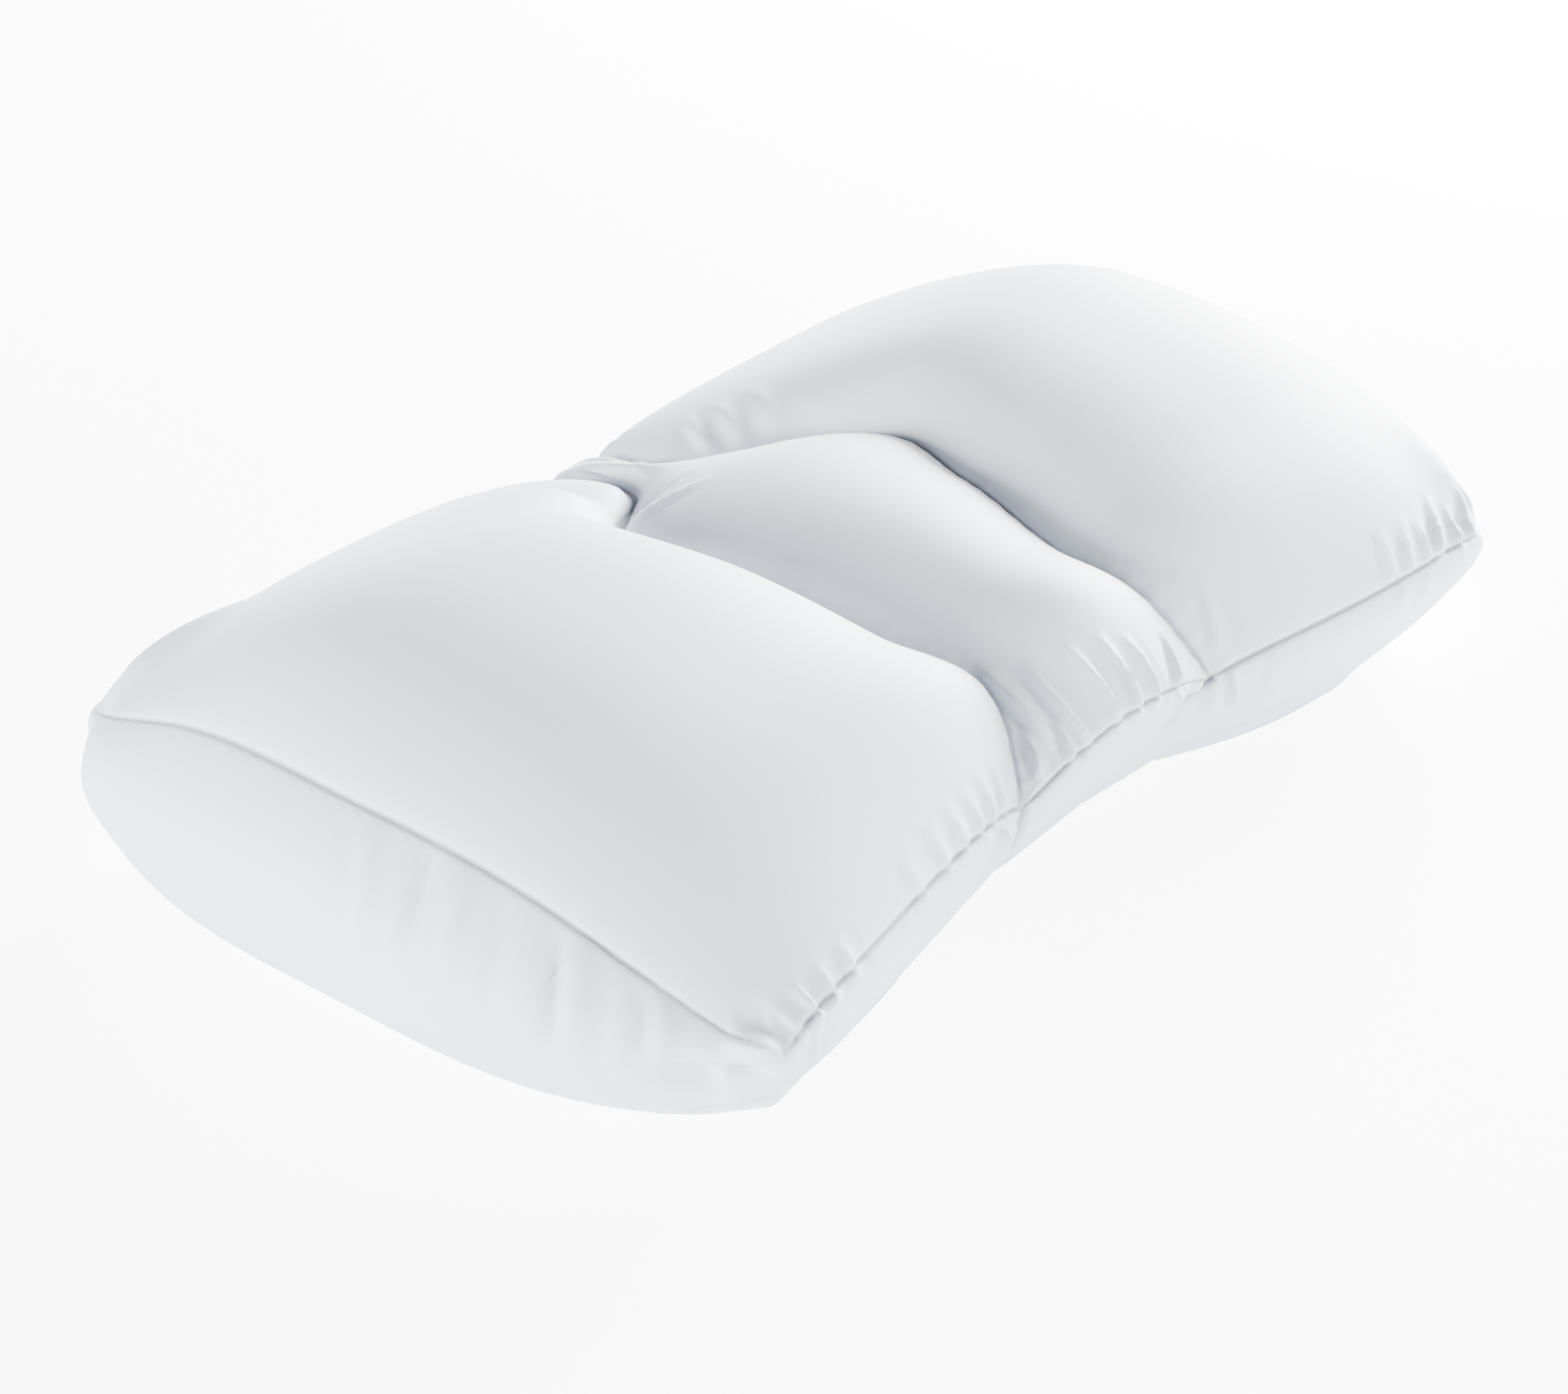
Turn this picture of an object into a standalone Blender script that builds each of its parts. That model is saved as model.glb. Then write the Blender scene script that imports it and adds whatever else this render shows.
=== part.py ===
"""Microbead pillow: one filled cushion with three top panels, a boxing band all round and a base panel.

Metres, +Z up. X runs along the pillow, -Y is its front, and it lies on its base at z = 0.
A box is cut into a lattice, and every point of the lattice is then moved onto the filled shape.
"""
import bmesh
import bpy
import numpy as np

# The sewn corners of the top seam: x, y, z
FRONT_LEFT = (-0.232, -0.156, 0.044)
FRONT_RIGHT = (0.232, -0.154, 0.050)
BACK_RIGHT = (0.238, 0.1555, 0.0665)
BACK_LEFT = (-0.236, 0.158, 0.055)

# Where the two inner seams meet the top seam: x, y, z
FRONT_WAIST_LEFT = (-0.065, -0.130, 0.0485)
FRONT_WAIST_RIGHT = (0.058, -0.1315, 0.0485)
BACK_WAIST_LEFT = (-0.018, 0.133, 0.0755)
BACK_WAIST_RIGHT = (0.010, 0.133, 0.0755)

# Inner seams: share of the way from front to back, the two seams' distances from the middle, height
INNER_SEAM_ROWS = np.array((
    # share, left, right, height
    (0.10, 0.0460, 0.0530, 0.0725),
    (0.25, 0.0530, 0.0515, 0.0810),
    (0.45, 0.0615, 0.0620, 0.0915),
    (0.65, 0.0680, 0.0670, 0.0930),
    (0.82, 0.0200, 0.0210, 0.0820),
))

# Runs of the top seam between those points: bow to the run's right, rise in the middle, shape of the rise
SEAM_RUNS = {
    # run: bow, rise, power, root
    "left_end": (-0.0280, 0.0440, 2.7, 1.5),
    "right_end": (0.0252, 0.0375, 2.7, 1.5),
    "front_left": (-0.0010, 0.0080, 3.9, 0.7),
    "front_waist": (0.0045, 0.0140, 2.0, 1.0),
    "front_right": (0.0055, 0.0040, 3.9, 0.7),
    "back_left": (0.0000, 0.0110, 2.2, 1.0),
    "back_waist": (0.0000, 0.0000, 2.0, 1.0),
    "back_right": (0.0037, 0.0066, 3.9, 0.7),
}

# Crowns of the top panels above their seams, and their shape along and across the pillow
CROWNS = {
    # panel: height, power and root along, lean along, power and root across
    "left": (0.0246, 2.5, 0.76, 1.00, 2.44, 0.64),
    "middle": (0.0114, 2.5, 0.76, 1.00, 2.5, 0.63),
    "right": (0.0253, 2.4, 0.80, 0.915, 2.59, 0.63),
}

# Sections of the side below the top seam, each a Bezier arc down to the floor
SIDE_ROWS = {
    # section: pull outwards at the seam, share of the height dropped, tuck of the floor line, foot, lift
    "left_corner": (0.0106, 0.060, 0.0500, 0.0340, 0.0),
    "right_corner": (0.0194, 0.032, 0.0584, 0.0380, 0.0),
    "left_end": (0.0600, 0.40, 0.0187, 0.0125, 0.0),
    "right_end": (0.0700, 0.18, 0.0167, 0.0236, 0.0),
    "lobe": (0.0139, 0.29, 0.0187, -0.0045, 0.0),
    "waist": (0.0075, 0.24, 0.0373, 0.0117, 0.0005),
}
CORNER_TURN = 0.276
CORNER_BLEND = 0.807

# The lattice: where the inner seams lie along it, and how many cells each stretch has
SEAM_LEFT = 0.42
SEAM_RIGHT = 0.58
LOBE_CELLS = 17
MIDDLE_CELLS = 8
CELLS_ACROSS = 26
CELLS_DOWN = 8
CROWDING = 0.7

COVER_COLOUR = (0.83, 0.86, 0.90, 1.0)
COVER_ROUGHNESS = 0.7
EDGE = 1e-6


def clear_scene():
    """Remove every object that the scene holds."""
    for thing in list(bpy.data.objects):
        bpy.data.objects.remove(thing, do_unlink=True)


def through(stations, rows, at):
    """Smooth curve through the rows: cubic Hermite, each slope the mean of its neighbours by distance."""
    stations = np.asarray(stations, float)
    rows = np.asarray(rows, float)
    steps = np.diff(stations)[:, None]
    rise = np.diff(rows, axis=0) / steps
    inner = (rise[:-1] * steps[1:] + rise[1:] * steps[:-1]) / (steps[1:] + steps[:-1])
    slopes = np.vstack((rise[:1], inner, rise[-1:]))
    i = np.clip(np.searchsorted(stations, at, side="right") - 1, 0, len(stations) - 2)
    step = steps[i]
    t = (np.asarray(at)[:, None] - stations[i][:, None]) / step
    value = (2 * t**3 - 3 * t**2 + 1) * rows[i] + (3 * t**2 - 2 * t**3) * rows[i + 1]
    return value + step * ((t**3 - 2 * t**2 + t) * slopes[i] + (t**3 - t**2) * slopes[i + 1])


def arch(t, power, root):
    """0 at both ends and 1 in the middle; a high power widens its top, a low root steepens its ends."""
    return np.maximum(1 - np.abs(2 * t - 1) ** power, 0) ** root


def run(name, start, end, t):
    """A run of the top seam: the straight line, bowed aside as a parabola and raised as an arch."""
    bow, rise, power, root = SEAM_RUNS[name]
    start, end = np.array(start), np.array(end)
    aside = np.array((end[1] - start[1], start[0] - end[0], 0.0))
    aside /= np.linalg.norm(aside)
    points = start + (end - start) * t[:, None] + aside * (bow * 4 * t * (1 - t))[:, None]
    points[:, 2] += rise * arch(t, power, root)
    return points


def left_end(v):
    """Top seam across the left end, from front to back."""
    return run("left_end", FRONT_LEFT, BACK_LEFT, v)


def right_end(v):
    """Top seam across the right end, from front to back."""
    return run("right_end", FRONT_RIGHT, BACK_RIGHT, v)


def long_side(side, corners, u):
    """Top seam along the front or the back: left lobe, waist and right lobe, one run each."""
    spans = ((0, SEAM_LEFT), (SEAM_LEFT, SEAM_RIGHT), (SEAM_RIGHT, 1))
    points = np.zeros((len(u), 3))
    for (low, high), part, start, end in zip(spans, ("left", "waist", "right"), corners, corners[1:]):
        here = (u >= low) & (u <= high)
        points[here] = run(side + "_" + part, start, end, (u[here] - low) / (high - low))
    return points


def front(u):
    """Top seam along the front, from left to right."""
    return long_side("front", (FRONT_LEFT, FRONT_WAIST_LEFT, FRONT_WAIST_RIGHT, FRONT_RIGHT), u)


def back(u):
    """Top seam along the back, from left to right."""
    return long_side("back", (BACK_LEFT, BACK_WAIST_LEFT, BACK_WAIST_RIGHT, BACK_RIGHT), u)


def inner_seam(start, end, column, way, v):
    """An inner seam from front to back: its x and its height run smoothly through the rows."""
    stations = (0, *INNER_SEAM_ROWS[:, 0], 1)
    table = np.column_stack((way * INNER_SEAM_ROWS[:, column], INNER_SEAM_ROWS[:, 3]))
    rows = np.vstack(((start[0], start[2]), table, (end[0], end[2])))
    across = through(stations, rows, v)
    return np.column_stack((across[:, 0], start[1] + (end[1] - start[1]) * v, across[:, 1]))


def seam_left(v):
    """Seam between the left lobe and the middle panel."""
    return inner_seam(FRONT_WAIST_LEFT, BACK_WAIST_LEFT, 1, -1, v)


def seam_right(v):
    """Seam between the middle panel and the right lobe."""
    return inner_seam(FRONT_WAIST_RIGHT, BACK_WAIST_RIGHT, 2, 1, v)


def stretched(t, v, left, right, near, far):
    """Coons patch: the surface stretched between four edges, given as point arrays and corners."""
    t, v = t[:, None], v[:, None]
    blend = (1 - t) * left + t * right + (1 - v) * near[0] + v * far[0]
    corners = (1 - t) * (1 - v) * near[1] + t * (1 - v) * near[2] + (1 - t) * v * far[1] + t * v * far[2]
    return blend - corners


def ends_of(edge, low, high):
    """The first and last point of an edge between two places along the lattice."""
    return edge(np.array((low + EDGE, high - EDGE)))


def top(u, v):
    """The three top panels: each is stretched between its seams and raised by its crown."""
    panels = (
        (0, SEAM_LEFT, left_end, seam_left, "left"),
        (SEAM_LEFT, SEAM_RIGHT, seam_left, seam_right, "middle"),
        (SEAM_RIGHT, 1, seam_right, right_end, "right"),
    )
    points = np.zeros((len(u), 3))
    for low, high, left, right, name in panels:
        here = (u >= low) & (u <= high)
        t, w = (u[here] - low) / (high - low), v[here]
        along = np.clip(u[here], low + EDGE, high - EDGE)
        near = (front(along), *ends_of(front, low, high))
        far = (back(along), *ends_of(back, low, high))
        panel = stretched(t, w, left(w), right(w), near, far)
        height, power, root, lean, *across = CROWNS[name]
        panel[:, 2] += height * arch(t**lean, power, root) * arch(w, *across)
        points[here] = panel
    return points


def section_rows(outwards):
    """Side sections along a long side or across an end: stations and rows."""
    rows = {name: np.array(row) for name, row in SIDE_ROWS.items()}
    first, last = rows["left_corner"], rows["right_corner"]
    if outwards[0] != 0:
        corner, end = (first, rows["left_end"]) if outwards[0] < 0 else (last, rows["right_end"])
        near = corner + (end - corner) * CORNER_BLEND
        return (0, 0.16, 0.5, 0.84, 1), (corner, near, end, near, corner)
    lobe, waist = rows["lobe"], rows["waist"]
    near_first, near_last = (corner + (lobe - corner) * CORNER_BLEND for corner in (first, last))
    junction = (lobe + waist) / 2
    sections = (first, near_first, lobe, junction, waist, junction, lobe, near_last, last)
    return (0, 0.10, 0.22, SEAM_LEFT, 0.5, SEAM_RIGHT, 0.78, 0.90, 1), sections


def side(edge, outwards, along, down):
    """Side below a stretch of the top seam: Bezier arcs that leave the seam and land flat on the floor.

    The outward direction turns from the straight side's to the diagonal within the corner's reach.
    """
    seam = edge(along)
    stations, rows = section_rows(outwards)
    pull, drop, tuck, foot, lift = through(stations, rows, along).T[:, :, None]
    turn = np.clip(1 - (1 - along) / CORNER_TURN, 0, 1) ** 2 - np.clip(1 - along / CORNER_TURN, 0, 1) ** 2
    way = np.outer(np.ones_like(along), outwards) + np.outer(turn, (outwards[1] != 0, outwards[0] != 0, 0))
    way /= np.linalg.norm(way, axis=1)[:, None]
    up = np.array((0.0, 0.0, 1.0))
    landing = seam * (1, 1, 0) - way * tuck + up * np.maximum(lift, 0)
    upper = seam + way * pull - up * drop * seam[:, 2:]
    lower = landing + way * foot
    h = down[:, None]
    return (1 - h)**3 * seam + 3 * h * (1 - h)**2 * upper + 3 * h**2 * (1 - h) * lower + h**3 * landing


def floor_line(edge, outwards):
    """The line along which a side meets the base panel, as a function of the place along it."""
    return lambda along: side(edge, outwards, along, np.ones_like(along))


SIDES = {
    "front": (front, (0, -1, 0)),
    "back": (back, (0, 1, 0)),
    "left": (left_end, (-1, 0, 0)),
    "right": (right_end, (1, 0, 0)),
}


def base(u, v):
    """Base panel: flat on the floor, its rim lifted a little where the waist is."""
    near, far, left, right = (floor_line(*SIDES[name]) for name in ("front", "back", "left", "right"))
    near_row = (near(u), *ends_of(near, 0, 1))
    far_row = (far(u), *ends_of(far, 0, 1))
    points = stretched(u, v, left(v), right(v), near_row, far_row)
    points[:, 2] *= np.maximum(np.abs(4 * v - 2) - 1, 0) ** 2
    return points


def filled_shape(u, v, w):
    """Where each point of the unit lattice lies on the filled pillow."""
    points = np.zeros((len(u), 3))
    rims = (
        (v < EDGE, "front", u), (v > 1 - EDGE, "back", u),
        (u < EDGE, "left", v), (u > 1 - EDGE, "right", v),
    )
    low, high = w < EDGE, w > 1 - EDGE
    points[low] = base(u[low], v[low])
    points[high] = top(u[high], v[high])
    for rim, name, along in rims:
        here = rim & ~high
        points[here] = side(*SIDES[name], along[here], 1 - w[here])
    return points


def crowded(low, high, cells):
    """Cut places between two seams, closer together near the seams."""
    t = np.arange(1, cells) / cells
    return low + (high - low) * (t - CROWDING * np.sin(2 * np.pi * t) / (2 * np.pi))


def cut_lattice(body):
    """Cut the unit box into cells along X, Y and Z."""
    lengthways = (
        *crowded(0, SEAM_LEFT, LOBE_CELLS), SEAM_LEFT, *crowded(SEAM_LEFT, SEAM_RIGHT, MIDDLE_CELLS),
        SEAM_RIGHT, *crowded(SEAM_RIGHT, 1, LOBE_CELLS),
    )
    cuts = ((0, lengthways), (1, crowded(0, 1, CELLS_ACROSS)), (2, np.arange(1, CELLS_DOWN) / CELLS_DOWN))
    for axis, places in cuts:
        normal = np.eye(3)[axis]
        for place in places:
            everything = body.verts[:] + body.edges[:] + body.faces[:]
            bmesh.ops.bisect_plane(body, geom=everything, plane_co=normal * place, plane_no=normal)


def cover_material():
    """Smooth pale knit cover."""
    material = bpy.data.materials.new("stretch_knit_cover")
    material.use_nodes = True
    surface = material.node_tree.nodes["Principled BSDF"]
    surface.inputs["Base Color"].default_value = COVER_COLOUR
    surface.inputs["Roughness"].default_value = COVER_ROUGHNESS
    surface.inputs["Metallic"].default_value = 0.0
    return material


def build_pillow(collection):
    """The pillow as one closed solid, its extent centred on the origin."""
    body = bmesh.new()
    bmesh.ops.create_cube(body, size=1.0)
    bmesh.ops.translate(body, verts=body.verts, vec=(0.5, 0.5, 0.5))
    cut_lattice(body)
    lattice = np.round([point.co[:] for point in body.verts], 6)
    places = filled_shape(*lattice.T)
    places[:, :2] -= (places[:, :2].min(axis=0) + places[:, :2].max(axis=0)) / 2
    for point, place in zip(body.verts, places):
        point.co = place
    bmesh.ops.recalc_face_normals(body, faces=body.faces)
    mesh = bpy.data.meshes.new("pillow")
    body.to_mesh(mesh)
    body.free()
    mesh.shade_smooth()
    mesh.materials.append(cover_material())
    pillow = bpy.data.objects.new("pillow", mesh)
    collection.objects.link(pillow)
    return pillow


def main():
    """Build the pillow in its own collection."""
    clear_scene()
    collection = bpy.data.collections.new("microbead_pillow")
    bpy.context.scene.collection.children.link(collection)
    build_pillow(collection)


main()
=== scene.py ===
"""Looks of the microbead pillow: its cover, seams, gathers and creases, with a camera, a floor and light.

Metres, +Z up. X runs along the pillow, -Y is its front, and it lies on its base at z = 0.
The cover is one closed surface on a lattice of three top panels, four sides and a base panel.
"""
import math

import bpy
import numpy as np
from mathutils import Matrix, Vector


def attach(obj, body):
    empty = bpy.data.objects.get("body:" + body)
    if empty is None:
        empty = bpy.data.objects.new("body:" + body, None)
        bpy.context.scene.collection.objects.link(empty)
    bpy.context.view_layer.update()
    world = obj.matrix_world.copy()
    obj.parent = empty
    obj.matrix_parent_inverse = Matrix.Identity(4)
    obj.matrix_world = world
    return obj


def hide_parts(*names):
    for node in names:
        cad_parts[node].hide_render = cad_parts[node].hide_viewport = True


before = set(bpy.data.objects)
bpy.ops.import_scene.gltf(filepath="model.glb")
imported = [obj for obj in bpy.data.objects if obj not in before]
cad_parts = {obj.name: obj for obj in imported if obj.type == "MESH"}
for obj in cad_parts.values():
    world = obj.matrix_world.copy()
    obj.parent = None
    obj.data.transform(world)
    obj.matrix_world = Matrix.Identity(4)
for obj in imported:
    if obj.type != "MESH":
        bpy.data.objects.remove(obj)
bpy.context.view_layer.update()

MM = 0.001

# The sewn corners of the top seam: x, y, z
FRONT_LEFT = (-0.232, -0.156, 0.044)
FRONT_RIGHT = (0.232, -0.154, 0.050)
BACK_RIGHT = (0.238, 0.1555, 0.0665)
BACK_LEFT = (-0.236, 0.158, 0.055)

# Where the two inner seams meet the top seam: x, y, z
FRONT_WAIST_LEFT = (-0.065, -0.130, 0.0485)
FRONT_WAIST_RIGHT = (0.058, -0.1315, 0.0485)
BACK_WAIST_LEFT = (-0.018, 0.133, 0.0755)
BACK_WAIST_RIGHT = (0.010, 0.133, 0.0755)

# Inner seams: share of the way from front to back, the two seams' distances from the middle, height
INNER_SEAM_ROWS = np.array((
    # share, left, right, height
    (0.10, 0.0460, 0.0530, 0.0725),
    (0.25, 0.0530, 0.0515, 0.0810),
    (0.45, 0.0615, 0.0620, 0.0915),
    (0.65, 0.0680, 0.0650, 0.0930),
    (0.72, 0.0600, 0.0420, 0.0885),
    (0.81, 0.0225, 0.0080, 0.0820),
))

# Runs of the top seam between those points: bow to the run's right, rise in the middle, shape of the rise
SEAM_RUNS = {
    # run: bow, rise, power, root
    "left_end": (-0.0280, 0.0440, 2.7, 1.5),
    "right_end": (0.0252, 0.0375, 2.7, 1.5),
    "front_left": (-0.0010, 0.0080, 3.9, 0.7),
    "front_waist": (0.0045, 0.0140, 2.0, 1.0),
    "front_right": (0.0055, 0.0040, 3.9, 0.7),
    "back_left": (0.0000, 0.0110, 2.2, 1.0),
    "back_waist": (0.0000, 0.0000, 2.0, 1.0),
    "back_right": (0.0037, 0.0066, 3.9, 0.7),
}

# Crowns of the top panels above their seams, and their shape along and across the pillow
CROWNS = {
    # panel: height, power and root along, lean along, power and root across
    "left": (0.0246, 2.5, 0.76, 1.07, 2.44, 0.64),
    "middle": (0.0110, 2.0, 1.00, 1.00, 2.5, 0.63),
    "right": (0.0253, 2.4, 0.80, 0.915, 2.59, 0.63),
}

# Sections of the side below the top seam, each a Bezier arc down to the floor
SIDE_ROWS = {
    # section: pull outwards at the seam, share of the height dropped, tuck of the floor line, foot, lift
    "left_corner": (0.0106, 0.060, 0.0500, 0.0340, 0.0),
    "right_corner": (0.0194, 0.032, 0.0584, 0.0380, 0.0),
    "left_end": (0.0600, 0.40, 0.0187, 0.0125, 0.0),
    "right_end": (0.0700, 0.18, 0.0167, 0.0236, 0.0),
    "lobe": (0.0139, 0.29, 0.0187, -0.0045, 0.0),
    "waist": (0.0075, 0.24, 0.0373, 0.0117, 0.0005),
}

# A side's outward direction turns to the diagonal over this share of its length, and the section beside a
# corner has come this share of the way from the corner's section to the next
CORNER_TURN = 0.276
CORNER_BLEND = 0.807

# The lattice: where the inner seams lie along it, its cells, how they crowd towards the seams, and how its
# rows down the side crowd towards the top seam
SEAM_LEFT = 0.42
SEAM_RIGHT = 0.58
LOBE_CELLS = 88
MIDDLE_CELLS = 96
CELLS_ACROSS = 180
CELLS_DOWN = 46
CROWDING = 0.78
MIDDLE_CROWDING = 0.45
DOWN_POWER = 1.8

# The base panel: its rings, how far they reach from the floor line to the middle, and their place down the
# side, which is past the floor line so that no seam or fold reaches them
BASE_RINGS = 4
BASE_REACH = 0.35
ON_THE_BASE = 2.0

# Where the side's sections stand along an end and along a long side
END_STATIONS = (0, 0.16, 0.5, 0.84, 1)
LONG_STATIONS = (0, 0.10, 0.22, SEAM_LEFT, 0.5, SEAM_RIGHT, 0.78, 0.90, 1)

# A step too small to show
EDGE = 1e-6

# Distances between the seam's corners along and across the pillow
LONG_WAY = 0.47
SHORT_WAY = 0.31

# Seams, in mm: depth and half width of the crease, and how far and how wide the cover is drawn in beside it
SEAM_SECTIONS = {
    # seam: depth, half width, pull, width of the pull
    "top": (1.0, 1.0, 0.6, 3.0),
    "inner": (0.9, 1.0, 0.4, 3.0),
    "junction": (2.2, 1.6, 2.0, 5.0),
    "bottom": (1.5, 1.6, 1.2, 5.0),
}

# Width of the painted shade line along a seam's crease, as a share of the crease's width
SEAM_SHADE_SHARE = 0.7

# Small gathers along every seam, and two slow waves that space them unevenly: radians, length per radian
GATHER_HEIGHT = 0.22 * MM
GATHER_PITCH = 9.0 * MM
GATHER_REACH = 7.0 * MM
GATHER_DRIFT = ((1.7, 11 * MM), (1.1, 37 * MM))

# Bottom seam: how far down the side it runs at a corner and in the middle, its run-out from a corner, and
# where it starts and ends along a side
BOTTOM_AT_CORNER = 0.08
BOTTOM_IN_MIDDLE = 0.75
BOTTOM_RUN_OUT = {"left": 0.06, "right": 0.06, "front": 0.04, "back": 0.04}
BOTTOM_SPAN = (0.02, 0.98)

# Seams down the side below the inner seams: side, place along it, shift along it from top to bottom.
# They end this far down.
JUNCTION_END = 0.9
JUNCTIONS = (
    ("front", SEAM_LEFT, 0.0),
    ("front", SEAM_RIGHT, -0.12),
    ("back", SEAM_LEFT, 0.0),
    ("back", SEAM_RIGHT, 0.0),
)

# A fold's far side is steeper than its near side by this factor; a broad one is a fullness, not a gather
LEEWARD = 1.5
BROAD = 8.0 * MM

# Beside a gather the cover dips by this share of its height, this many half widths from its line
DIP = 0.35
DIP_PLACE = 1.7

# Points along each bottom seam, side seam and fold
BOTTOM_POINTS = 300
JUNCTION_POINTS = 60
FOLD_POINTS = 40

# A seam reaches this many widths of its pull, and a fold this many half widths
SEAM_REACH = 4
FOLD_REACH = 3.5

# Pairs of a point and a stretch of line that are measured at once
BLOCK = 1500000

# Seams and folds fade out over this share of the side, just above the floor line
FLOOR_FADE = 0.12

# Corners are rounded by averaging neighbours: how far from a corner, how far down the side, how many times,
# and the share below which a point stays where it is
SOFT_REACH = 20.0 * MM
SOFT_DOWN = 0.75
SOFT_TIMES = 180
SOFT_LEAST = 0.002

# Towards a corner the seams turn in under the cover and fade out over this distance
TUCKED_UNDER = 11.0 * MM

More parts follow.
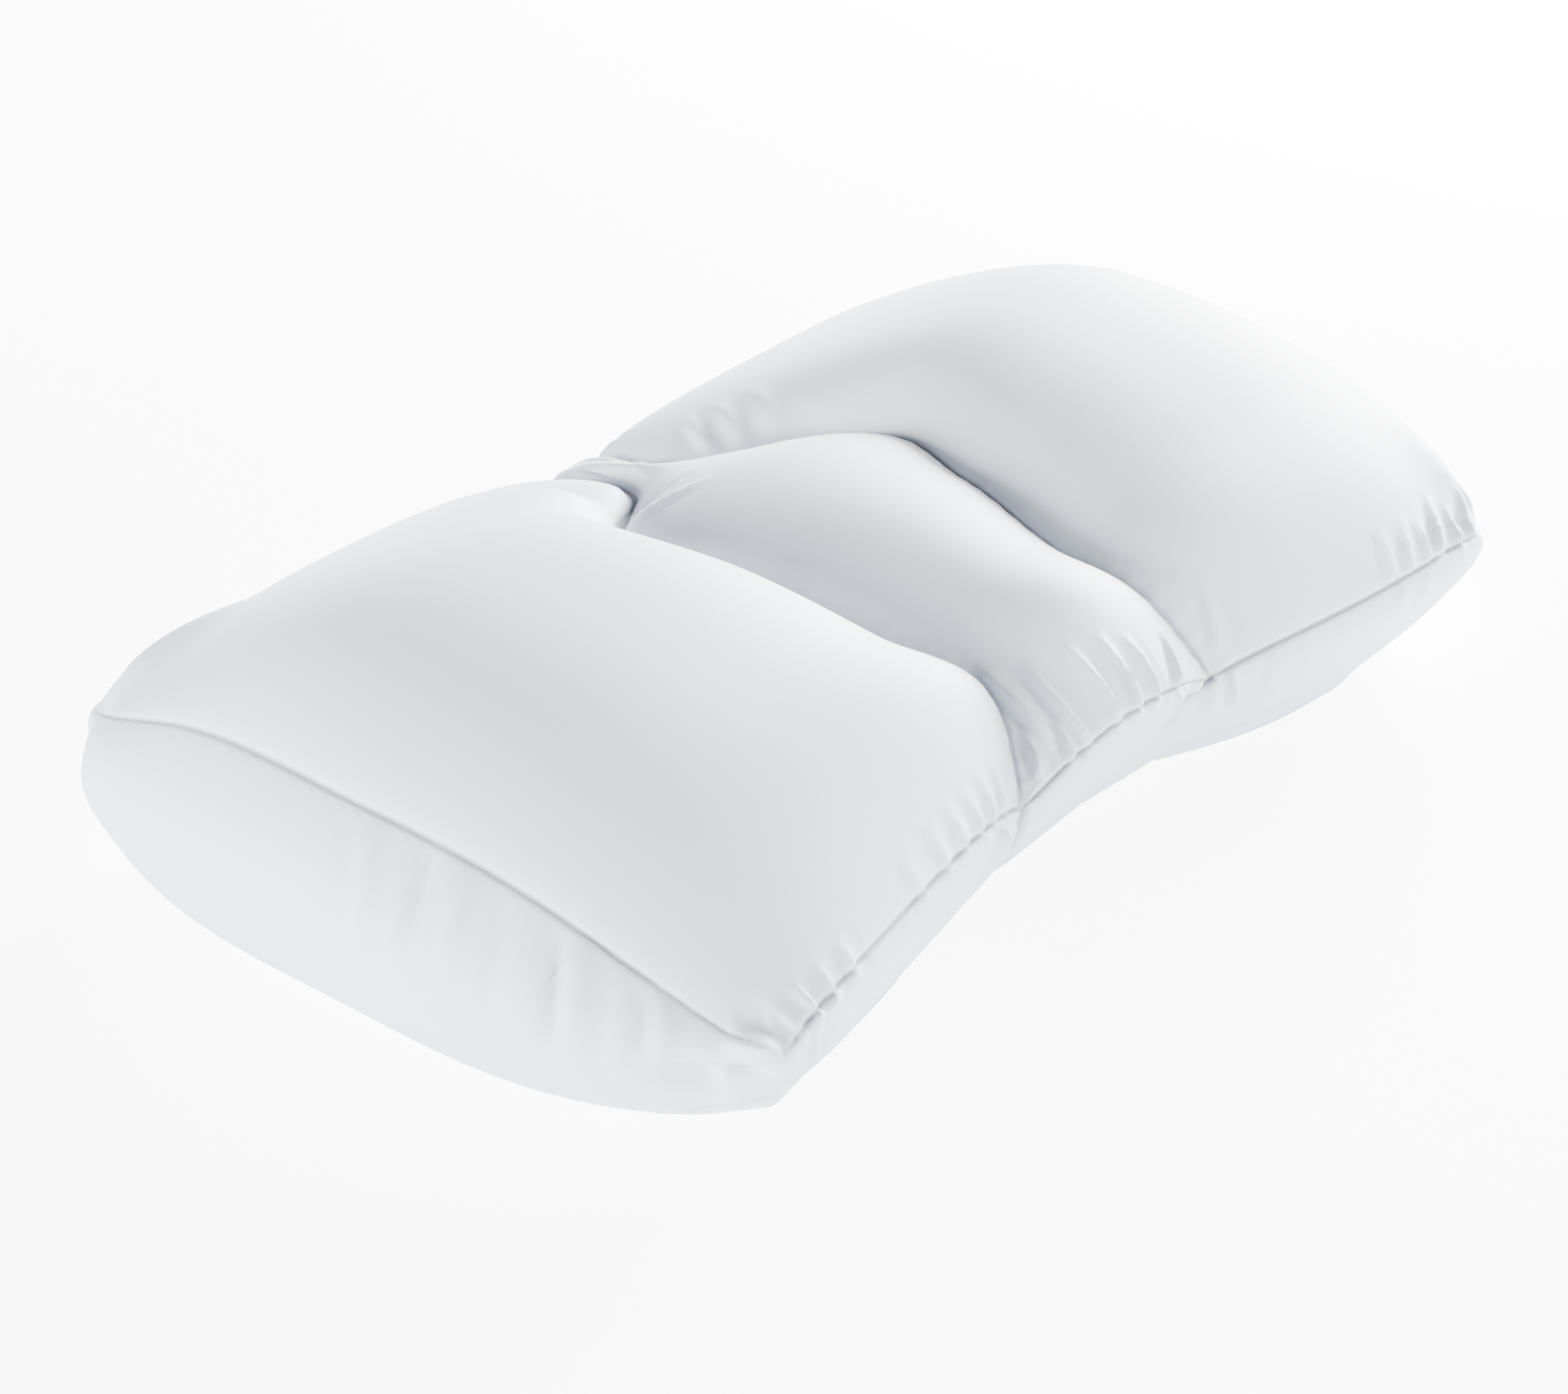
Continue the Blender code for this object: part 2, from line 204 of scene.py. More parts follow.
# Gathers and creases in mm: three points of the line, half width, height, share of the length to the peak.
# A height below 0 makes a hollow.
FOLDS = np.array((
    # fan of gathers above the front seam of the middle panel, from left to right
    (-47, -114, 68, -49, -121, 63, -54, -129, 55, 3.0, 2.6, 0.80),
    (-42, -90, 82, -43, -108, 74, -43, -127, 61, 3.4, 4.6, 0.60),
    (-36, -121, 69, -39, -129, 62, -41, -135, 56, 2.6, 3.0, 0.80),
    (-32, -103, 83, -33, -120, 73, -30, -136, 58, 3.1, 4.2, 0.70),
    (-17, -110, 86, -14, -126, 73, -14, -137, 59, 3.0, 3.8, 0.75),
    (-2, -114, 85, 0, -129, 71, -2, -138, 60, 2.9, 3.6, 0.78),
    (10, -117, 81, 13, -129, 69, 10, -138, 59, 2.6, 3.2, 0.80),
    (37, -116, 73, 32, -128, 65, 26, -137, 58, 2.6, 3.0, 0.75),
    # left lobe beside the front waist
    (-75, -118, 70, -76, -126, 60, -78, -133, 53, 2.8, 1.4, 0.80),
    (-87, -123, 70, -85, -129, 62, -87, -137, 54, 2.8, 1.9, 0.80),
    (-98, -124, 70, -96, -131, 62, -96, -138, 54, 2.8, 1.7, 0.80),
    (-110, -127, 71, -108, -133, 62, -107, -139, 54, 3.0, 1.7, 0.80),
    (-124, -129, 71, -122, -136, 62, -120, -142, 53, 3.2, 1.4, 0.80),
    (-142, -131, 71, -140, -138, 61, -138, -145, 52, 3.4, 1.2, 0.80),
    # ear of the near corner: its gathers, its plump tip, the crease under it and the strip folded in below
    (-201, -141, 62, -200, -147, 55, -200, -154, 48, 2.6, 2.2, 0.80),
    (-212, -142, 59, -211, -149, 53, -209, -155, 47, 2.4, 2.8, 0.75),
    (-221, -142, 57, -220, -149, 52, -218, -155, 46, 2.4, 2.0, 0.75),
    (-188, -140, 62, -187, -147, 55, -186, -153, 49, 3.0, 1.6, 0.80),
    (-240, -138, 50, -235, -147, 48, -228, -152, 46, 5.5, 6.0, 0.60),
    (-245, -136, 44, -238, -146, 40, -229, -152, 39, 2.6, -5.5, 0.50),
    (-256, -120, 44, -248, -131, 40, -240, -140, 38, 5.5, -8.0, 0.70),
    (-243, -133, 27, -239, -141, 30, -232, -149, 34, 3.6, 4.5, 0.60),
    (-206, -155, 46, -207, -153, 40, -204, -149, 31, 2.2, -3.8, 0.50),
    (-212, -155, 45, -214, -154, 38, -212, -150, 30, 3.0, 2.4, 0.50),
    # right lobe beside its front corner, then two folds below the seam there and one beside the waist
    (169, -134, 71, 165, -143, 64, 163, -151, 55, 3.2, 1.8, 0.80),
    (186, -137, 69, 179, -145, 62, 175, -152, 54, 2.8, 1.9, 0.80),
    (194, -139, 67, 191, -147, 60, 187, -153, 54, 2.4, 2.0, 0.80),
    (214, -133, 68, 204, -145, 62, 195, -154, 53, 3.2, 3.0, 0.70),
    (221, -139, 62, 214, -149, 56, 212, -155, 51, 2.6, 2.6, 0.75),
    (234, -134, 60, 229, -144, 56, 224, -154, 51, 3.4, 2.6, 0.70),
    (240, -120, 61, 243, -133, 57, 240, -146, 51, 3.4, 2.0, 0.60),
    (168, -152, 52, 164, -154, 47, 160, -154, 38, 4.0, 1.4, 0.40),
    (184, -153, 50, 180, -154, 44, 175, -152, 34, 4.0, 1.2, 0.40),
    (72, -112, 80, 68, -122, 68, 64, -131, 55, 4.0, 1.2, 0.70),
    # fullness of the top beside the back left and front right corners
    (-234, 149, 58, -210, 142, 68, -172, 134, 78, 14.0, 6.5, 0.35),
    (-246, 150, 46, -260, 132, 44, -268, 104, 44, 15.0, 3.0, 0.40),
    (230, -148, 55, 239, -122, 68, 242, -84, 82, 14.0, 7.5, 0.35),
    # folds and hollows of the left end's strip
    (-262, -14, 90, -278, -24, 76, -284, -28, 54, 4.4, 1.8, 0.40),
    (-260, -36, 92, -271, -42, 81, -281, -46, 60, 3.4, -3.4, 0.40),
    (-259, -50, 88, -272, -57, 74, -281, -60, 50, 4.4, 1.8, 0.40),
    (-256, -66, 84, -270, -73, 70, -278, -76, 46, 4.0, -1.8, 0.40),
    (-252, -84, 78, -264, -91, 67, -272, -97, 46, 3.4, -3.2, 0.45),
    (-251, -92, 76, -264, -99, 62, -272, -104, 42, 3.8, 1.8, 0.45),
    (-249, -103, 70, -262, -109, 56, -267, -112, 36, 3.2, -1.6, 0.45),
    (-247, -113, 64, -255, -118, 56, -261, -120, 40, 3.2, -2.6, 0.45),
    (-246, -121, 60, -254, -126, 50, -258, -127, 36, 3.4, 1.6, 0.45),
    # front strip beside the left waist seam
    (-82, -134, 52, -84, -135, 46, -83, -133, 34, 3.6, 3.6, 0.30),
    (-68, -132, 49, -71, -132, 42, -70, -130, 31, 3.0, -4.0, 0.40),
    # front strip beside the right waist seam: a fold, a hollow, a ridge, the lobe's belly and four streaks
    (26, -135, 58, 25, -135, 48, 19, -133, 36, 2.4, 3.2, 0.50),
    (44, -134, 53, 36, -136, 47, 27, -133, 34, 4.5, -9.5, 0.40),
    (58, -134, 44, 50, -135, 38, 42, -133, 28, 5.0, 3.0, 0.40),
    (76, -136, 40, 84, -140, 28, 92, -139, 12, 13.0, 4.5, 0.50),
    (65, -134, 49, 66, -135, 42, 70, -134, 30, 2.6, 3.4, 0.40),
    (84, -136, 48, 86, -140, 38, 90, -141, 26, 4.0, 1.1, 0.40),
    (104, -139, 48, 105, -143, 38, 108, -144, 26, 4.0, 0.9, 0.40),
    (126, -144, 49, 128, -147, 38, 131, -148, 26, 4.0, 0.9, 0.40),
    # left lobe's slope down to the back waist, the creases that run from there towards the middle, and the
    # right lobe's gathers beside them
    (-76, 104, 98, -52, 84, 97, -56, 60, 97, 13.0, -5.0, 0.50),
    (-12, 124, 79, -12, 104, 83, -26, 82, 86, 2.2, -2.2, 0.50),
    (-2, 132, 77, -2, 108, 82, -12, 84, 88, 3.0, 1.4, 0.40),
    (-50, 58, 90, -38, 50, 97, -22, 44, 103, 3.0, 1.8, 0.30),
    (-46, 64, 89, -34, 60, 95, -18, 56, 101, 2.2, -1.6, 0.30),
    (34, 106, 91, 26, 92, 89, 20, 80, 86, 3.6, 1.8, 0.75),
    (44, 98, 94, 36, 84, 92, 29, 72, 89, 3.6, 1.7, 0.75),
    (56, 90, 98, 49, 76, 95, 42, 64, 92, 3.8, 1.3, 0.75),
))

# The photograph's width in pixels, and the camera: its angles in degrees, its place in metres, its focal
# length in those pixels and the width of its sensor
PHOTO_WIDTH = 2000
CAMERA_AZIMUTH = -52.51
CAMERA_ELEVATION = 29.51
CAMERA_ROLL = 1.53
CAMERA_PLACE = (-0.8468, -0.6228, 0.6093)
FOCAL_PIXELS = 3961.5
SENSOR_MM = 36.0

# The floor: half its width in metres, and the strength of its glow on the pillow and as the camera sees it
FLOOR_HALF = 6.0
GLOW_ON_PILLOW = 0.9
GLOW_SEEN = 7.0


def through(stations, rows, at):
    """Smooth curve through the rows: cubic Hermite, each slope the mean of its neighbours by distance."""
    stations = np.asarray(stations, float)
    rows = np.asarray(rows, float)
    steps = np.diff(stations)[:, None]
    rise = np.diff(rows, axis=0) / steps
    inner = (rise[:-1] * steps[1:] + rise[1:] * steps[:-1]) / (steps[1:] + steps[:-1])
    slopes = np.vstack((rise[:1], inner, rise[-1:]))
    i = np.clip(np.searchsorted(stations, at, side="right") - 1, 0, len(stations) - 2)
    step = steps[i]
    t = (np.asarray(at)[:, None] - stations[i][:, None]) / step
    value = (2 * t**3 - 3 * t**2 + 1) * rows[i] + (3 * t**2 - 2 * t**3) * rows[i + 1]
    return value + step * ((t**3 - 2 * t**2 + t) * slopes[i] + (t**3 - t**2) * slopes[i + 1])


def arch(t, power, root):
    """0 at both ends and 1 in the middle; a high power widens its top, a low root steepens its ends."""
    return np.maximum(1 - np.abs(2 * t - 1) ** power, 0) ** root


def run(name, start, end, t):
    """A run of the top seam: the straight line, bowed aside as a parabola and raised as an arch."""
    bow, rise, power, root = SEAM_RUNS[name]
    start, end = np.array(start), np.array(end)
    aside = np.array((end[1] - start[1], start[0] - end[0], 0.0))
    aside /= np.linalg.norm(aside)
    points = start + (end - start) * t[:, None] + aside * (bow * 4 * t * (1 - t))[:, None]
    points[:, 2] += rise * arch(t, power, root)
    return points


def left_end(v):
    """Top seam across the left end, from front to back."""
    return run("left_end", FRONT_LEFT, BACK_LEFT, v)


def right_end(v):
    """Top seam across the right end, from front to back."""
    return run("right_end", FRONT_RIGHT, BACK_RIGHT, v)


def long_side(side, corners, u):
    """Top seam along the front or the back: left lobe, waist and right lobe, one run each."""
    spans = ((0, SEAM_LEFT), (SEAM_LEFT, SEAM_RIGHT), (SEAM_RIGHT, 1))
    points = np.zeros((len(u), 3))
    for (low, high), part, start, end in zip(spans, ("left", "waist", "right"), corners, corners[1:]):
        here = (u >= low) & (u <= high)
        points[here] = run(side + "_" + part, start, end, (u[here] - low) / (high - low))
    return points


def front(u):
    """Top seam along the front, from left to right."""
    return long_side("front", (FRONT_LEFT, FRONT_WAIST_LEFT, FRONT_WAIST_RIGHT, FRONT_RIGHT), u)


def back(u):
    """Top seam along the back, from left to right."""
    return long_side("back", (BACK_LEFT, BACK_WAIST_LEFT, BACK_WAIST_RIGHT, BACK_RIGHT), u)


def inner_seam(start, end, column, way, v):
    """An inner seam from front to back: its x and its height run smoothly through the rows."""
    stations = (0, *INNER_SEAM_ROWS[:, 0], 1)
    table = np.column_stack((way * INNER_SEAM_ROWS[:, column], INNER_SEAM_ROWS[:, 3]))
    rows = np.vstack(((start[0], start[2]), table, (end[0], end[2])))
    across = through(stations, rows, v)
    return np.column_stack((across[:, 0], start[1] + (end[1] - start[1]) * v, across[:, 1]))


def seam_left(v):
    """Seam between the left lobe and the middle panel."""
    return inner_seam(FRONT_WAIST_LEFT, BACK_WAIST_LEFT, 1, -1, v)


def seam_right(v):
    """Seam between the middle panel and the right lobe."""
    return inner_seam(FRONT_WAIST_RIGHT, BACK_WAIST_RIGHT, 2, 1, v)


def stretched(t, v, left, right, near, far):
    """Coons patch: the surface stretched between four edges, given as point arrays and corners."""
    t, v = t[:, None], v[:, None]
    blend = (1 - t) * left + t * right + (1 - v) * near[0] + v * far[0]
    corners = (1 - t) * (1 - v) * near[1] + t * (1 - v) * near[2] + (1 - t) * v * far[1] + t * v * far[2]
    return blend - corners


def ends_of(edge, low, high):
    """The first and last point of an edge between two places along the lattice."""
    return edge(np.array((low + EDGE, high - EDGE)))


def top(u, v):
    """The three top panels: each is stretched between its seams and raised by its crown."""
    panels = (
        (0, SEAM_LEFT, left_end, seam_left, "left"),
        (SEAM_LEFT, SEAM_RIGHT, seam_left, seam_right, "middle"),
        (SEAM_RIGHT, 1, seam_right, right_end, "right"),
    )
    points = np.zeros((len(u), 3))
    for low, high, left, right, name in panels:
        here = (u >= low) & (u <= high)
        t, w = (u[here] - low) / (high - low), v[here]
        along = np.clip(u[here], low + EDGE, high - EDGE)
        near = (front(along), *ends_of(front, low, high))
        far = (back(along), *ends_of(back, low, high))
        panel = stretched(t, w, left(w), right(w), near, far)
        height, power, root, lean, *across = CROWNS[name]
        panel[:, 2] += height * arch(t**lean, power, root) * arch(w, *across)
        points[here] = panel
    return points


def section_rows(outwards):
    """Side sections along a long side or across an end: stations and rows."""
    rows = {name: np.array(row) for name, row in SIDE_ROWS.items()}
    first, last = rows["left_corner"], rows["right_corner"]
    if outwards[0] != 0:
        corner, end = (first, rows["left_end"]) if outwards[0] < 0 else (last, rows["right_end"])
        near = corner + (end - corner) * CORNER_BLEND
        return END_STATIONS, (corner, near, end, near, corner)
    lobe, waist = rows["lobe"], rows["waist"]
    near_first, near_last = (corner + (lobe - corner) * CORNER_BLEND for corner in (first, last))
    junction = (lobe + waist) / 2
    sections = (first, near_first, lobe, junction, waist, junction, lobe, near_last, last)
    return LONG_STATIONS, sections


def side(edge, outwards, along, down):
    """Side below a stretch of the top seam: Bezier arcs that leave the seam and land flat on the floor.

    The outward direction turns from the straight side's to the diagonal within the corner's reach.
    """
    seam = edge(along)
    stations, rows = section_rows(outwards)
    pull, drop, tuck, foot, lift = through(stations, rows, along).T[:, :, None]
    turn = np.clip(1 - (1 - along) / CORNER_TURN, 0, 1) ** 2 - np.clip(1 - along / CORNER_TURN, 0, 1) ** 2
    way = np.outer(np.ones_like(along), outwards) + np.outer(turn, (outwards[1] != 0, outwards[0] != 0, 0))
    way /= np.linalg.norm(way, axis=1)[:, None]
    up = np.array((0.0, 0.0, 1.0))
    landing = seam * (1, 1, 0) - way * tuck + up * np.maximum(lift, 0)
    upper = seam + way * pull - up * drop * seam[:, 2:]
    lower = landing + way * foot
    h = down[:, None]
    return (1 - h)**3 * seam + 3 * h * (1 - h)**2 * upper + 3 * h**2 * (1 - h) * lower + h**3 * landing


SIDES = {
    "front": (front, (0, -1, 0)),
    "back": (back, (0, 1, 0)),
    "left": (left_end, (-1, 0, 0)),
    "right": (right_end, (1, 0, 0)),
}


def crowded(low, high, cells, crowding=CROWDING):
    """Stations from one seam to the next, closer together near the seams: t less a share of sin(2 pi t)."""
    t = np.arange(cells + 1) / cells
    return low + (high - low) * (t - crowding * np.sin(2 * np.pi * t) / (2 * np.pi))


def bottom_seam(name, t):
    """Seam round the base panel: low on the side, it climbs towards a corner as exp(-distance)."""
    edge, outwards = SIDES[name]
    reach = np.minimum(t, 1 - t) / BOTTOM_RUN_OUT[name]
    down = BOTTOM_AT_CORNER + (BOTTOM_IN_MIDDLE - BOTTOM_AT_CORNER) * (1 - np.exp(-reach))
    return side(edge, outwards, t, down)


def beside(points, line, reach):
    """Points within reach of a line: their numbers, distances, places along it and side vectors.

    A side vector is the cross product of the line's direction with the way from the line to the point.
    """
    boxed = (points > line.min(axis=0) - reach) & (points < line.max(axis=0) + reach)
    near = np.nonzero(boxed.all(axis=1))[0]
    step = np.diff(line, axis=0)
    size = np.linalg.norm(step, axis=1)
    travelled = np.append(0, np.cumsum(size))
    found = []
    for rows in np.array_split(near, 1 + len(near) * len(step) // BLOCK):
        delta = points[rows, None] - line[:-1]
        t = np.clip((delta * step).sum(axis=2) / size**2, 0, 1)
        gap = delta - t[:, :, None] * step
        best = (np.arange(len(rows)), (gap**2).sum(axis=2).argmin(axis=1))
        distance = np.linalg.norm(gap[best], axis=1)
        place = travelled[best[1]] + t[best] * size[best[1]]
        found.append(np.column_stack((distance, place, np.cross(step[best[1]], gap[best]))))
    found = np.vstack(found)
    within = found[:, 0] < reach
    return near[within], found[within, 0], found[within, 1], found[within, 2:]


class Cover:
    """The cover's surface: lattice places u, v, w of its points, their positions, and its faces."""

    def __init__(self):
        self.lattice()
        self.base_rings()
        self.shift = np.array((*(self.points[:, :2].min(axis=0) + self.points[:, :2].max(axis=0)) / 2, 0))
        self.soften(np.exp(-(self.from_corner / SOFT_REACH) ** 2 - (self.w / SOFT_DOWN) ** 2), SOFT_TIMES)
        self.normals = self.outward()
        self.seam_shade = np.zeros(len(self.points))
        rise = self.seams() + self.folds()
        fade = np.clip((1 - self.w) / FLOOR_FADE, 0, 1)
        self.points += self.normals * (rise * fade)[:, None]
        self.points[:, 2] = np.maximum(self.points[:, 2], 0)
        self.points -= self.shift

    def soften(self, share, times):
        """Each point moves towards the mean of its neighbours by its share, so that an edge turns round."""
        quads = np.concatenate(self.faces)
        start, end = np.concatenate([quads[:, [corner, (corner + 1) % 4]] for corner in range(4)]).T
        moved = share[start] > SOFT_LEAST
        start, end = start[moved], end[moved]
        count = np.maximum(np.bincount(start, minlength=len(share)), 1)
        here = np.unique(start)
        for _ in range(times):
            for axis in range(3):
                mean = np.bincount(start, self.points[end, axis], len(share)) / count
                self.points[here, axis] += share[here] * (mean - self.points[:, axis])[here]

    def outward(self):
        """Unit normals: the sum, over a point's faces, of the cross product of a face's diagonals."""
        quads = np.concatenate(self.faces)
        corners = self.points[quads]
        cross = np.cross(corners[:, 2] - corners[:, 0], corners[:, 3] - corners[:, 1])
        total = np.zeros_like(self.points)
        for corner in range(4):
            np.add.at(total, quads[:, corner], cross)
        # the inner ring of the base lies flat, so its normals point down
        total[self.middle_face, 2] -= EDGE
        return total / np.linalg.norm(total, axis=1)[:, None]

    def seams(self):
        """Seams sink as a narrow bell in a wider dip, with small gathers as waves; corners hide them.

        The bell is exp(-(distance / half width)^2), and the dip exp(-distance / width).
        """
        lines = [(kind, self.points[rows]) for kind, rows in self.lines]
        span = np.linspace(*BOTTOM_SPAN, BOTTOM_POINTS)
        lines += [("bottom", bottom_seam(name, span)) for name in SIDES]
        down = np.linspace(0, JUNCTION_END, JUNCTION_POINTS)
        for name, place, lean in JUNCTIONS:
            lines.append(("junction", side(*SIDES[name], place + lean * down, down)))
        lowest = np.zeros(len(self.points))
        waves = np.zeros(len(self.points))
        for kind, line in lines:
            depth, half, pull, width = np.array(SEAM_SECTIONS[kind]) * MM
            rows, gap, place, _ = beside(self.points, line, SEAM_REACH * width)
            sunk = depth * np.exp(-(gap / half) ** 2) + pull * np.exp(-gap / width)
            lowest[rows] = np.maximum(lowest[rows], sunk)
            phase = 2 * np.pi * place / GATHER_PITCH
            for drift, length in GATHER_DRIFT:
                phase = phase + drift * np.sin(place / length)
            height = GATHER_HEIGHT * np.sin(phase)
            waves[rows] += height * np.exp(-gap / GATHER_REACH) * (1 - np.exp(-gap / MM))
            # share of painted shade laid along the seam's crease, narrower than the crease; it fades out
            # towards the corners with the seams
            seam_shade = np.exp(-(gap / half / SEAM_SHADE_SHARE) ** 2)
            self.seam_shade[rows] = np.maximum(self.seam_shade[rows], seam_shade)
        shown = 1 - np.exp(-(self.from_corner / TUCKED_UNDER) ** 2)
        self.seam_shade *= shown
        return (waves - lowest) * shown

    def folds(self):
        """Gathers and hollows: a bell, exp(-distance^1.5), across each line, and sines up and down along it.

        The line is a parabola through its three points, laid on the cover. A gather dips on both sides.
        """
        rise = np.zeros(len(self.points))
        for fold in FOLDS:
            start, middle, end = fold[:9].reshape(3, 3) * MM
            half, height, peak = fold[9] * MM, fold[10] * MM, fold[11]
            t = np.linspace(0, 1, FOLD_POINTS)[:, None]
            line = (1 - t)**2 * start + 2 * t * (1 - t) * (2 * middle - (start + end) / 2) + t**2 * end
            nearest = np.array([((self.points - place)**2).sum(axis=1).argmin() for place in line])
            normal = self.normals[nearest]
            line += normal * ((self.points[nearest] - line) * normal).sum(axis=1)[:, None]
            rows, gap, place, turned = beside(self.points, line, FOLD_REACH * half)
            share = place / np.linalg.norm(np.diff(line, axis=0), axis=1).sum()
            along = np.where(share < peak, share / peak, (1 - share) / (1 - peak))
            leeward = (turned * self.normals[rows]).sum(axis=1) < 0
            gap = gap / half * np.where(leeward, LEEWARD, 1)
            dip = DIP if height > 0 and half < BROAD else 0
            hat = np.exp(-gap ** 1.5) - dip * np.exp(-(gap - DIP_PLACE) ** 2)
            rise[rows] += height * hat * np.sin(np.clip(along, 0, 1) * np.pi / 2)
        return rise

    def lattice(self):
        """Top and sides: the outer points of a box lattice, numbered once so that the panels are joined."""
        lobe = crowded(0, SEAM_LEFT, LOBE_CELLS)
        middle = crowded(SEAM_LEFT, SEAM_RIGHT, MIDDLE_CELLS, MIDDLE_CROWDING)
        along = np.concatenate((lobe, middle[1:], 1 - lobe[-2::-1]))
        across = crowded(0, 1, CELLS_ACROSS)
        down = np.linspace(0, 1, CELLS_DOWN + 1) ** DOWN_POWER
        shell = np.zeros((len(along), len(across), len(down)), bool)
        shell[:, :, 0] = True
        for rim in (shell[0], shell[-1], shell[:, 0], shell[:, -1]):
            rim[:] = True
        index = np.full(shell.shape, -1)
        index[shell] = np.arange(shell.sum())
        i, j, k = np.nonzero(shell)
        self.u, self.v, self.w = along[i], across[j], down[k]
        self.points = np.zeros((len(i), 3))
        on_top = k == 0
        self.points[on_top] = top(self.u[on_top], self.v[on_top])
        rims = ((j == 0, "front", self.u), (j == len(across) - 1, "back", self.u),
                (i == 0, "left", self.v), (i == len(along) - 1, "right", self.v))
        for rim, name, place in rims:
            here = rim & ~on_top
            self.points[here] = side(*SIDES[name], place[here], self.w[here])
        grids = (index[:, :, 0], index[:, 0, ::-1], index[:, -1], index[0], index[-1, :, ::-1])
        self.faces = [self.quads(grid) for grid in grids]
        upper = index[:, :, 0]
        self.lines = [("top", rows) for rows in (upper[:, 0], upper[:, -1], upper[0], upper[-1])]
        self.lines += [("inner", upper[way]) for way in (LOBE_CELLS, LOBE_CELLS + MIDDLE_CELLS)]
        floor = index[:, :, -1]
        self.ring = np.concatenate((floor[:-1, 0], floor[-1, :-1], floor[:0:-1, -1], floor[0, :0:-1]))

    @staticmethod
    def quads(grid):
        """Four-cornered faces of a grid of point numbers."""
        corners = (grid[:-1, :-1], grid[1:, :-1], grid[1:, 1:], grid[:-1, 1:])
        return np.stack(corners, axis=-1).reshape(-1, 4)

    def base_rings(self):
        """Base panel: rings drawn in from the floor line, with one flat face inside the last of them."""
        rim = self.points[self.ring]
        shares = np.linspace(0, BASE_REACH, BASE_RINGS + 1)[1:]
        rings = [self.ring]
        for share in shares:
            inner = rim * (1 - share, 1 - share, 0)
            inner[:, 2] = rim[:, 2] * (1 - share / BASE_REACH) ** 2
            rings.append(np.arange(len(rim)) + len(self.points))
            self.points = np.vstack((self.points, inner))
        grid = np.array([np.append(ring, ring[0]) for ring in rings])
        self.faces.append(self.quads(grid))
        self.middle_face = rings[-1][::-1]
        extra = len(self.points) - len(self.u)
        self.u = np.append(self.u, np.full(extra, 0.5))
        self.v = np.append(self.v, np.full(extra, 0.5))
        self.w = np.append(self.w, np.full(extra, ON_THE_BASE))
        along, across = np.minimum(self.u, 1 - self.u), np.minimum(self.v, 1 - self.v)
        self.from_corner = np.hypot(along * LONG_WAY, across * SHORT_WAY)

    def mesh(self, name):
        """The surface as a smooth mesh, faces outwards, with the share of painted shade along the seams as
        an attribute.
        """
        quads = np.concatenate(self.faces)
        counts = np.append(np.full(len(quads), 4), len(self.middle_face))
        loops = np.append(quads.ravel(), self.middle_face)
        mesh = bpy.data.meshes.new(name)
        mesh.vertices.add(len(self.points))
        mesh.vertices.foreach_set("co", self.points.ravel())
        mesh.loops.add(len(loops))
        mesh.loops.foreach_set("vertex_index", loops)
        mesh.polygons.add(len(counts))
        mesh.polygons.foreach_set("loop_start", np.append(0, np.cumsum(counts)[:-1]))
        mesh.polygons.foreach_set("loop_total", counts)
        mesh.update(calc_edges=True)
        seam_shade = mesh.attributes.new("painted_seam_shade", "FLOAT", "POINT")
        seam_shade.data.foreach_set("value", self.seam_shade)
        mesh.validate()
        mesh.shade_smooth()
        return mesh


def linear(code):
    """A colour in sRGB hex as linear red, green, blue and full alpha."""
    channels = [int(code[i:i + 2], 16) / 255 for i in (1, 3, 5)]
    return (*(c / 12.92 if c <= 0.04045 else ((c + 0.055) / 1.055) ** 2.4 for c in channels), 1.0)


def add(tree, kind, inputs=None, links=None, **settings):
    """Add a node with its settings, socket values and links from other nodes' sockets."""
    node = tree.nodes.new(kind)
    for name, value in settings.items():
        setattr(node, name, value)
    for name, value in (inputs or {}).items():
        node.inputs[name].default_value = value
    for name, socket in (links or {}).items():
        tree.links.new(socket, node.inputs[name])
    return node


def knit_cover():
    """Smooth stretch knit, a nylon and elastane jersey: a matt white skin with a faint soft sheen."""
    material = bpy.data.materials.new("stretch_knit_jersey")
    material.use_nodes = True
    tree = material.node_tree
    surface = tree.nodes["Principled BSDF"]
    # white cloth, and a darker grey painted along the seams' creases as painted shade; a colour mix's
    # sockets go by number:
    # 0 is the share, 6 and 7 are the colours and output 2 is the result
    line = add(tree, "ShaderNodeAttribute", attribute_name="painted_seam_shade")
    cloth, seam_shade = linear("#e0e6f1"), linear("#a6a9b0")
    colour = add(tree, "ShaderNodeMix", {6: cloth, 7: seam_shade}, {0: line.outputs["Fac"]}, data_type="RGBA")
    tree.links.new(colour.outputs[2], surface.inputs["Base Color"])
    # a jersey's stitches are 0.4 mm apart; they're drawn 1 mm apart, the finest that shows at this distance
    place = add(tree, "ShaderNodeTexCoord")
    scale = 1 / (1.0 * MM)
    stitches = add(tree, "ShaderNodeTexVoronoi", {"Scale": scale}, {"Vector": place.outputs["Object"]})
    relief = add(tree, "ShaderNodeBump", {"Strength": 0.3, "Distance": 0.05 * MM},
                 {"Height": stitches.outputs["Distance"]})
    tree.links.new(relief.outputs["Normal"], surface.inputs["Normal"])
    surface.inputs["Roughness"].default_value = 0.62
    surface.inputs["Sheen Weight"].default_value = 0.25
    surface.inputs["Sheen Roughness"].default_value = 0.4
    return material


def build_pillow():
    """The sewn and filled pillow, in place of its plain solid."""
    cover = Cover()
    mesh = cover.mesh("pillow_cover")
    mesh.materials.append(knit_cover())
    pillow = bpy.data.objects.new("pillow_cover", mesh)
    bpy.context.scene.collection.objects.link(pillow)
    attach(pillow, "root")
    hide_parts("pillow")


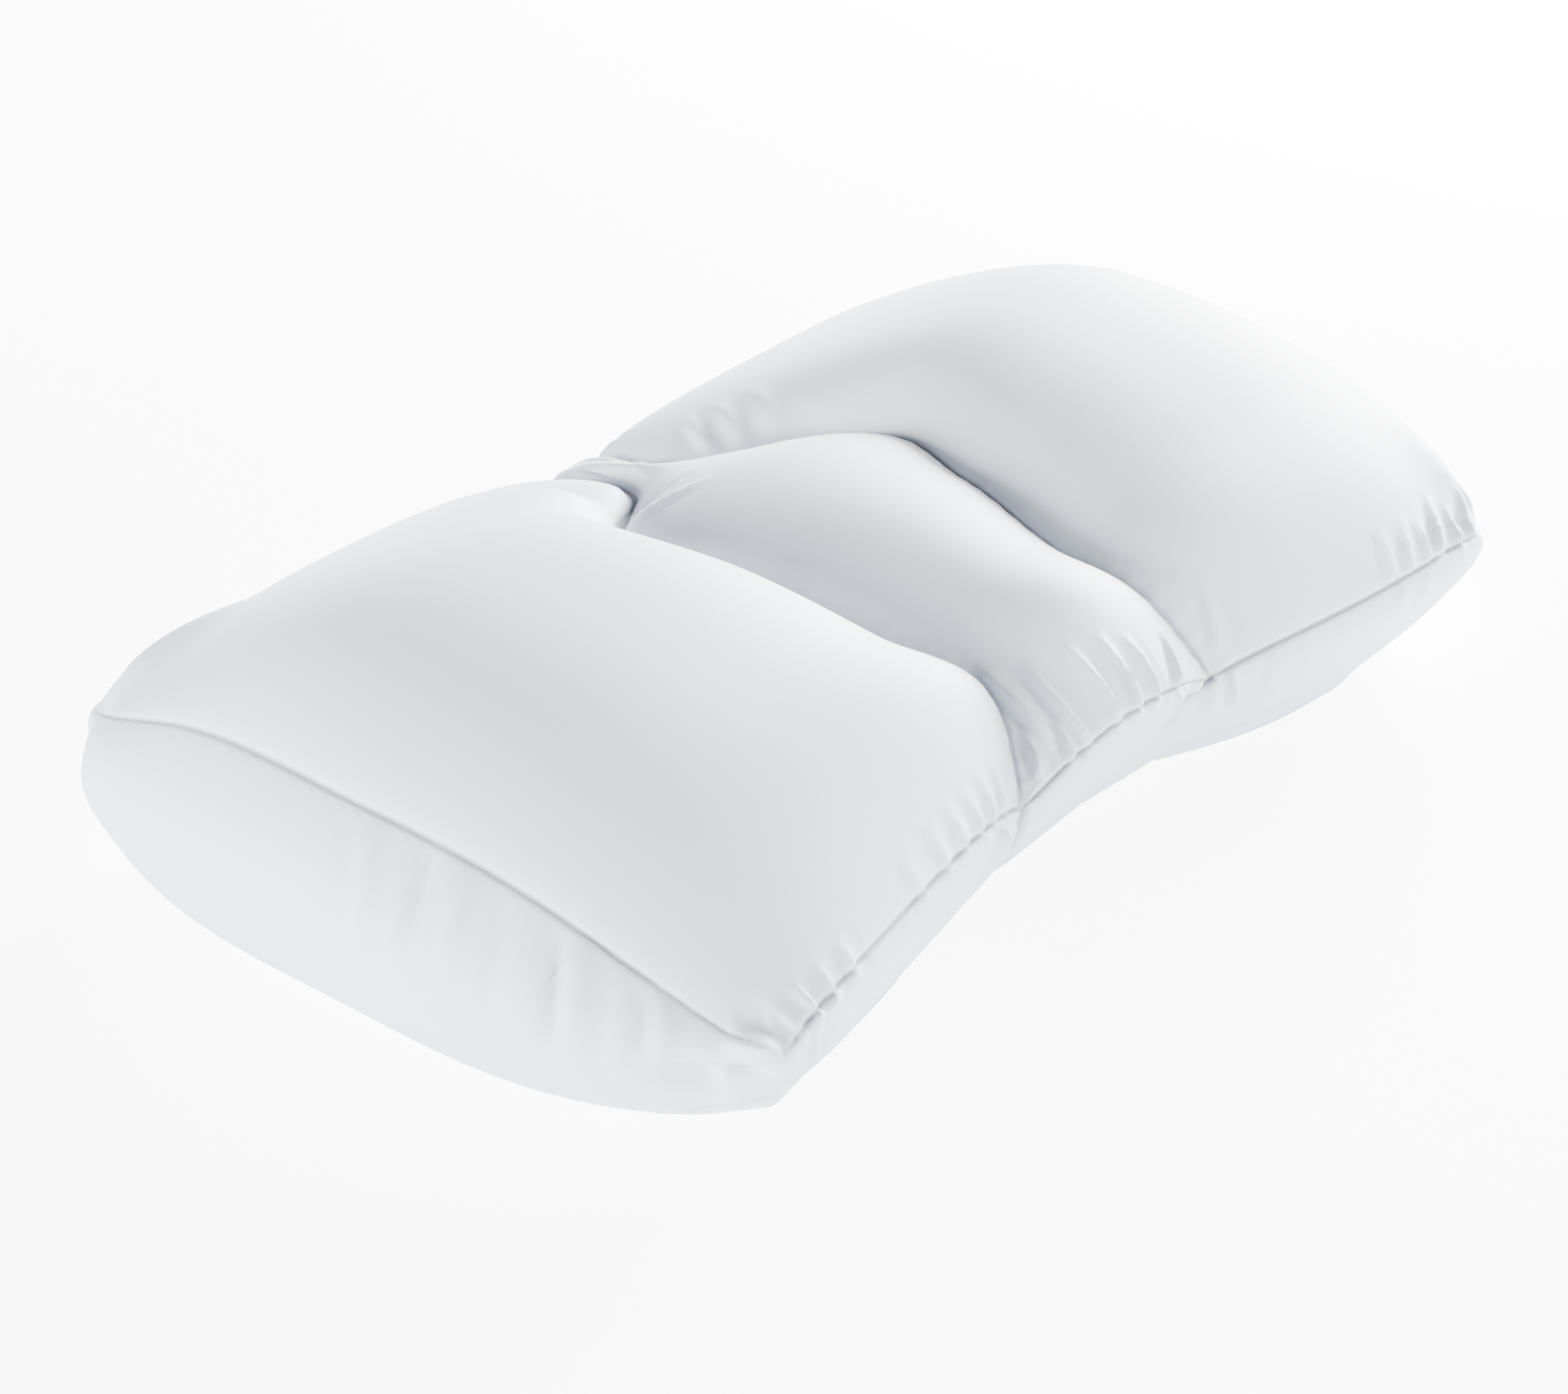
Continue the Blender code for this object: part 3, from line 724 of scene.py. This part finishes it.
def build_camera():
    """Camera at the photograph's angle."""
    azimuth, elevation, roll = map(math.radians, (CAMERA_AZIMUTH, CAMERA_ELEVATION, CAMERA_ROLL))
    flat = math.cos(elevation)
    toward = Vector((math.sin(azimuth) * flat, -math.cos(azimuth) * flat, math.sin(elevation)))
    level = Vector((math.cos(azimuth), math.sin(azimuth), 0))
    upright = toward.cross(level)
    right = level * math.cos(roll) + upright * math.sin(roll)
    up = upright * math.cos(roll) - level * math.sin(roll)
    data = bpy.data.cameras.new("camera")
    data.sensor_fit = "HORIZONTAL"
    data.sensor_width = SENSOR_MM
    data.lens = FOCAL_PIXELS / PHOTO_WIDTH * SENSOR_MM
    camera = bpy.data.objects.new("camera", data)
    turn = Matrix((right, up, toward)).transposed().to_4x4()
    camera.matrix_world = Matrix.Translation(CAMERA_PLACE) @ turn
    bpy.context.scene.collection.objects.link(camera)
    bpy.context.scene.camera = camera


def build_stage():
    """Plain pale floor: it glows softly, and is seen a good deal whiter than it lights the pillow."""
    mesh = bpy.data.meshes.new("floor")
    corners = [(x * FLOOR_HALF, y * FLOOR_HALF, 0) for x, y in ((-1, -1), (1, -1), (1, 1), (-1, 1))]
    mesh.from_pydata(corners, [], [(0, 1, 2, 3)])
    material = bpy.data.materials.new("matt_white_paper")
    material.use_nodes = True
    tree = material.node_tree
    surface = tree.nodes["Principled BSDF"]
    surface.inputs["Base Color"].default_value = linear("#fbfbfb")
    surface.inputs["Roughness"].default_value = 0.9
    surface.inputs["Specular IOR Level"].default_value = 0.0
    surface.inputs["Emission Color"].default_value = linear("#fdfdff")
    seen = add(tree, "ShaderNodeLightPath")
    glow = {"To Min": GLOW_ON_PILLOW, "To Max": GLOW_SEEN}
    strength = add(tree, "ShaderNodeMapRange", glow, {"Value": seen.outputs["Is Camera Ray"]})
    tree.links.new(strength.outputs["Result"], surface.inputs["Emission Strength"])
    mesh.materials.append(material)
    floor = bpy.data.objects.new("floor", mesh)
    bpy.context.scene.collection.objects.link(floor)


LIGHTS = {
    # light: place, target, width, height, watts
    "left_softbox": ((-1.9, 0.5, 0.45), (0, 0, 0.05), 1.0, 0.6, 125.0),
    "right_softbox": ((1.9, 0.2, 0.60), (0, 0, 0.08), 1.2, 0.6, 400.0),
    "front_softbox": ((0.3, -2.0, 0.50), (0, 0, 0.05), 1.0, 0.5, 75.0),
    "back_softbox": ((-0.2, 2.0, 0.60), (0, 0, 0.08), 1.6, 0.7, 8.0),
}


def build_light():
    """Soft studio light: a pale surround and a low soft box on each side."""
    world = bpy.data.worlds.new("studio")
    bpy.context.scene.world = world
    world.use_nodes = True
    surround = world.node_tree.nodes["Background"]
    surround.inputs["Color"].default_value = linear("#f4f7fc")
    surround.inputs["Strength"].default_value = 0.28
    for name, (place, target, width, height, watts) in LIGHTS.items():
        data = bpy.data.lights.new(name, "AREA")
        data.shape = "RECTANGLE"
        data.size = width
        data.size_y = height
        data.energy = watts
        lamp = bpy.data.objects.new(name, data)
        lamp.location = place
        lamp.rotation_euler = (Vector(target) - Vector(place)).to_track_quat("-Z", "Y").to_euler()
        bpy.context.scene.collection.objects.link(lamp)


build_camera()
build_stage()
build_light()
build_pillow()
